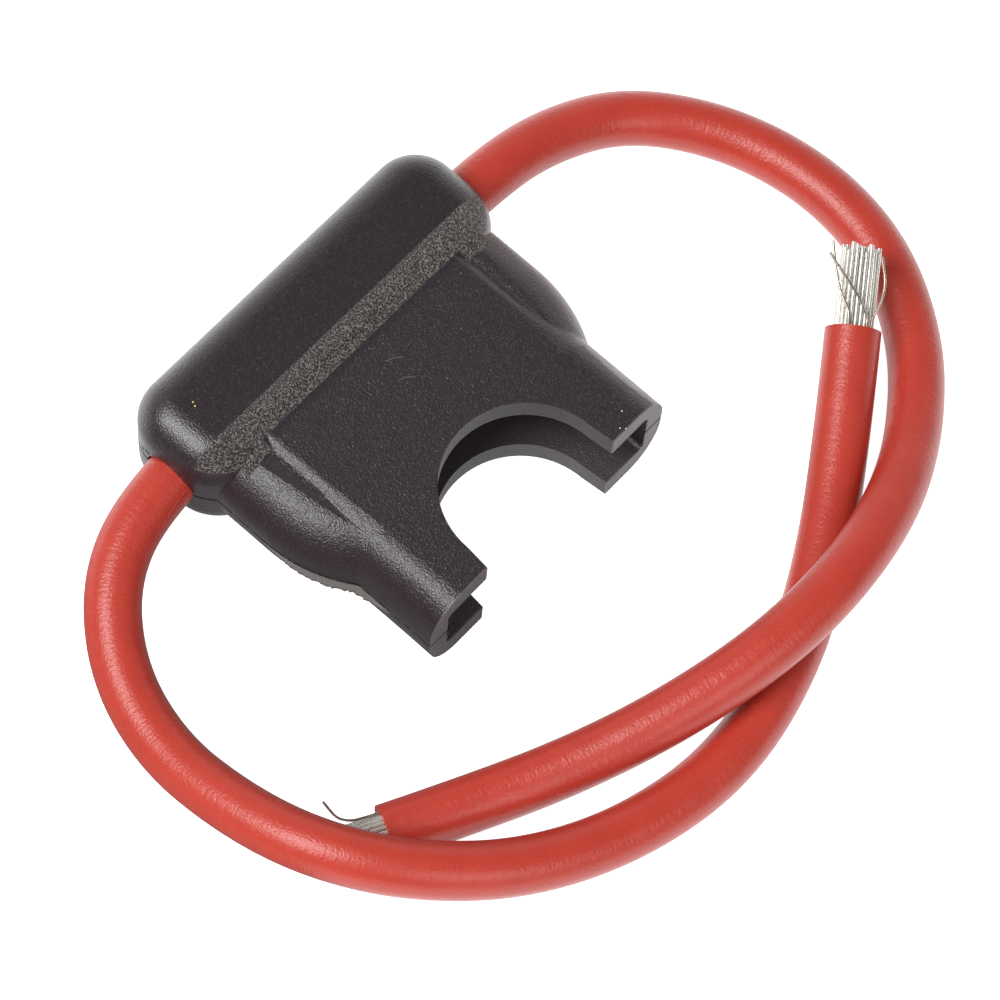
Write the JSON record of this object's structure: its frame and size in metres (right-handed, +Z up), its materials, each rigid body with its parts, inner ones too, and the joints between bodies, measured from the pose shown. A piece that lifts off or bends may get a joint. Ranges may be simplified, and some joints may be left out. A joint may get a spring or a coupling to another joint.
{
  "type": "inline fuse holder",
  "caption": "Open inline holder for a standard blade fuse: moulded housing with a finger notch and two free red leads with stripped ends.",
  "frame": {"origin": "middle of the housing's footprint, on the surface that the housing's shoulder lies on", "axes": "+X along the exit of the right lead and the housing's width, -Y out of the open mouth, +Z up from the surface"},
  "size_m": [0.0692, 0.049, 0.01],
  "materials": {
    "housing": "fine moulded texture, smooth on the shoulder",
    "lead_jacket": "satin, faintly grained",
    "strand": "tin-plated wire",
    "terminal": "tin-plated sheet"
  },
  "bodies": {
    "root": {"upper_shell": "housing", "lower_shell": "housing", "left_terminal": "terminal", "right_terminal": "terminal", "left_crimped_core": "strand", "right_crimped_core": "strand", "left_lead": "lead_jacket", "right_lead": "lead_jacket", "left_lead_strands": "strand", "right_lead_strands": "strand", "left_stray_strands": "strand", "right_stray_strand": "strand"}
  },
  "joints": []
}
